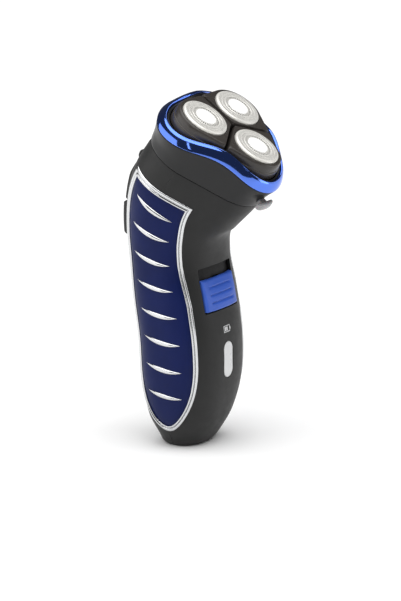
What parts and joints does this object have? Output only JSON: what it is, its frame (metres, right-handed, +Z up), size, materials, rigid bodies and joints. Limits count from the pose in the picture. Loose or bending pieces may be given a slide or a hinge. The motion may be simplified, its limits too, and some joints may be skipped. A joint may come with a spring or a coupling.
{
  "type": "rotary electric shaver",
  "caption": "Cordless rotary shaver with a curved grip, a tilted head of round cutters under slotted guards, a slide switch and a pop-up trimmer.",
  "frame": {"origin": "on the flat base that the shaver stands on, in line with the grip", "axes": "+Z up along the grip, -Y is the front with the power switch and the side the head leans to, +X is the shaver's right-hand flank seen from behind"},
  "size_m": [0.0626, 0.0734, 0.1605],
  "materials": {
    "housing_plastic": "fine soft-touch matte",
    "panel_blue": "satin navy",
    "chrome_trim": "polished",
    "ring_blue": "blue metallic chrome",
    "switch_blue": "satin blue",
    "gloss_black": "gloss",
    "pod_black": "satin top, gloss sides",
    "guard_steel": "turned and slotted",
    "cap_steel": "polished",
    "cutter_steel": "ground",
    "lens_clear": "frosted translucent",
    "button_grey": "translucent grey",
    "dark_plastic": "moulded",
    "white_nylon": "moulded nylon",
    "cell_green": "shrink sleeve",
    "board_green": "solder mask",
    "contact_brass": "plated",
    "plain_steel": "drawn",
    "winding_copper": "enamelled winding",
    "seal_rubber": "matte"
  },
  "bodies": {
    "body": {"front_housing": "housing_plastic", "rear_housing": "housing_plastic", "side_panel_left": "panel_blue", "side_panel_right": "panel_blue", "side_trim_left": "chrome_trim", "side_trim_right": "chrome_trim", "grip_ribs_left": "chrome_trim", "grip_ribs_right": "chrome_trim", "inner_chassis": "white_nylon", "battery": "cell_green", "battery_contacts": "contact_brass", "circuit_board": "board_green", "charge_led": "lens_clear", "charge_lens": "lens_clear", "charging_socket": "dark_plastic", "socket_contact": "contact_brass", "housing_screws": "plain_steel", "switch_track": "dark_plastic", "motor_can": "plain_steel", "motor_magnets": "plain_steel", "motor_end_cap": "dark_plastic", "gear_plate": "plain_steel", "drive_deck": "dark_plastic", "deck_screws": "plain_steel", "neck_seal": "seal_rubber", "head_hinge_pin": "plain_steel", "trimmer_cradle": "dark_plastic", "trimmer_hinge_pin": "plain_steel", "slider_spring": "plain_steel"},
    "switch": {"power_switch": "switch_blue", "switch_contact": "contact_brass"},
    "rotor": {"motor_armature": "winding_copper", "motor_shaft": "plain_steel", "drive_pinion": "white_nylon"},
    "head": {"head_housing": "gloss_black", "head_ring": "ring_blue", "cutter_retainer": "dark_plastic", "retainer_knob": "dark_plastic", "button_spring": "plain_steel"},
    "button": {"release_button": "button_grey"},
    "trimmer_arm": {"trimmer_arm": "housing_plastic", "trimmer_comb": "cutter_steel"},
    "trimmer_blade": {"trimmer_cutter": "cutter_steel"},
    "trimmer_slider": {"trimmer_slider": "housing_plastic"},
    "pod_front": {"pod_front": "pod_black", "guard_front": "guard_steel", "guard_cap_front": "cap_steel"},
    "cutter_front": {"cutter_front": "cutter_steel"},
    "spindle_front": {"spindle_front": "white_nylon"},
    "pod_left": {"pod_left": "pod_black", "guard_left": "guard_steel", "guard_cap_left": "cap_steel"},
    "cutter_left": {"cutter_left": "cutter_steel"},
    "spindle_left": {"spindle_left": "white_nylon"},
    "pod_right": {"pod_right": "pod_black", "guard_right": "guard_steel", "guard_cap_right": "cap_steel"},
    "cutter_right": {"cutter_right": "cutter_steel"},
    "spindle_right": {"spindle_right": "white_nylon"}
  },
  "joints": [
    {"name": "switch_slide", "type": "slide", "parent": "body", "child": "switch", "axis": [0, 0.1908, 0.9816], "range_m": [0, 0.005]},
    {"name": "rotor_spin", "type": "hinge", "parent": "body", "child": "rotor", "pos_m": [0, -0.025, 0.1487], "axis": [0, -0.5736, 0.8192], "continuous": true},
    {"name": "head_open", "type": "hinge", "parent": "body", "child": "head", "pos_m": [0, 0.00609, 0.14178], "axis": [-1, 0, 0], "range_deg": [0, 90]},
    {"name": "release_press", "type": "slide", "parent": "head", "child": "button", "axis": [0, 0.8192, 0.5736], "range_m": [0, 0.0012], "stiffness_N_per_m": 400, "deforming": ["button_spring"]},
    {"name": "trimmer_open", "type": "hinge", "parent": "body", "child": "trimmer_arm", "pos_m": [0, 0.0132, 0.1316], "axis": [-1, 0, 0], "range_deg": [-95, 0]},
    {"name": "trimmer_cut", "type": "slide", "parent": "trimmer_arm", "child": "trimmer_blade", "axis": [1, 0, 0], "range_m": [-0.0008, 0.0008]},
    {"name": "trimmer_release", "type": "slide", "parent": "body", "child": "trimmer_slider", "axis": [0, 0, -1], "range_m": [0, 0.0035], "stiffness_N_per_m": 400, "deforming": ["slider_spring"]},
    {"name": "spindle_front_spin", "type": "hinge", "parent": "body", "child": "spindle_front", "pos_m": [0, -0.03729, 0.1401], "axis": [0, -0.5736, 0.8192], "continuous": true},
    {"name": "pod_front_tilt", "type": "hinge", "parent": "head", "child": "pod_front", "pos_m": [0, -0.03167, 0.13207], "axis": [1, 0, 0], "range_deg": [-3, 3], "stiffness_Nm_per_rad": 0.2},
    {"name": "cutter_front_spin", "type": "hinge", "parent": "pod_front", "child": "cutter_front", "pos_m": [0, -0.03729, 0.1401], "axis": [0, -0.5736, 0.8192], "continuous": true},
    {"name": "spindle_left_spin", "type": "hinge", "parent": "body", "child": "spindle_left", "pos_m": [-0.01299, -0.01886, 0.153], "axis": [0, -0.5736, 0.8192], "continuous": true},
    {"name": "pod_left_tilt", "type": "hinge", "parent": "head", "child": "pod_left", "pos_m": [-0.01299, -0.01324, 0.14497], "axis": [-0.5, -0.7094, -0.4967], "range_deg": [-3, 3], "stiffness_Nm_per_rad": 0.2},
    {"name": "cutter_left_spin", "type": "hinge", "parent": "pod_left", "child": "cutter_left", "pos_m": [-0.01299, -0.01886, 0.153], "axis": [0, -0.5736, 0.8192], "continuous": true},
    {"name": "spindle_right_spin", "type": "hinge", "parent": "body", "child": "spindle_right", "pos_m": [0.01299, -0.01886, 0.153], "axis": [0, -0.5736, 0.8192], "continuous": true},
    {"name": "pod_right_tilt", "type": "hinge", "parent": "head", "child": "pod_right", "pos_m": [0.01299, -0.01324, 0.14497], "axis": [-0.5, 0.7094, 0.4967], "range_deg": [-3, 3], "stiffness_Nm_per_rad": 0.2},
    {"name": "cutter_right_spin", "type": "hinge", "parent": "pod_right", "child": "cutter_right", "pos_m": [0.01299, -0.01886, 0.153], "axis": [0, -0.5736, 0.8192], "continuous": true}
  ],
  "couplings": [
    {"joint": "spindle_front_spin", "follows": "rotor_spin", "ratio": -0.375},
    {"joint": "cutter_front_spin", "follows": "rotor_spin", "ratio": -0.375},
    {"joint": "spindle_left_spin", "follows": "rotor_spin", "ratio": -0.375},
    {"joint": "cutter_left_spin", "follows": "rotor_spin", "ratio": -0.375},
    {"joint": "spindle_right_spin", "follows": "rotor_spin", "ratio": -0.375},
    {"joint": "cutter_right_spin", "follows": "rotor_spin", "ratio": -0.375}
  ]
}
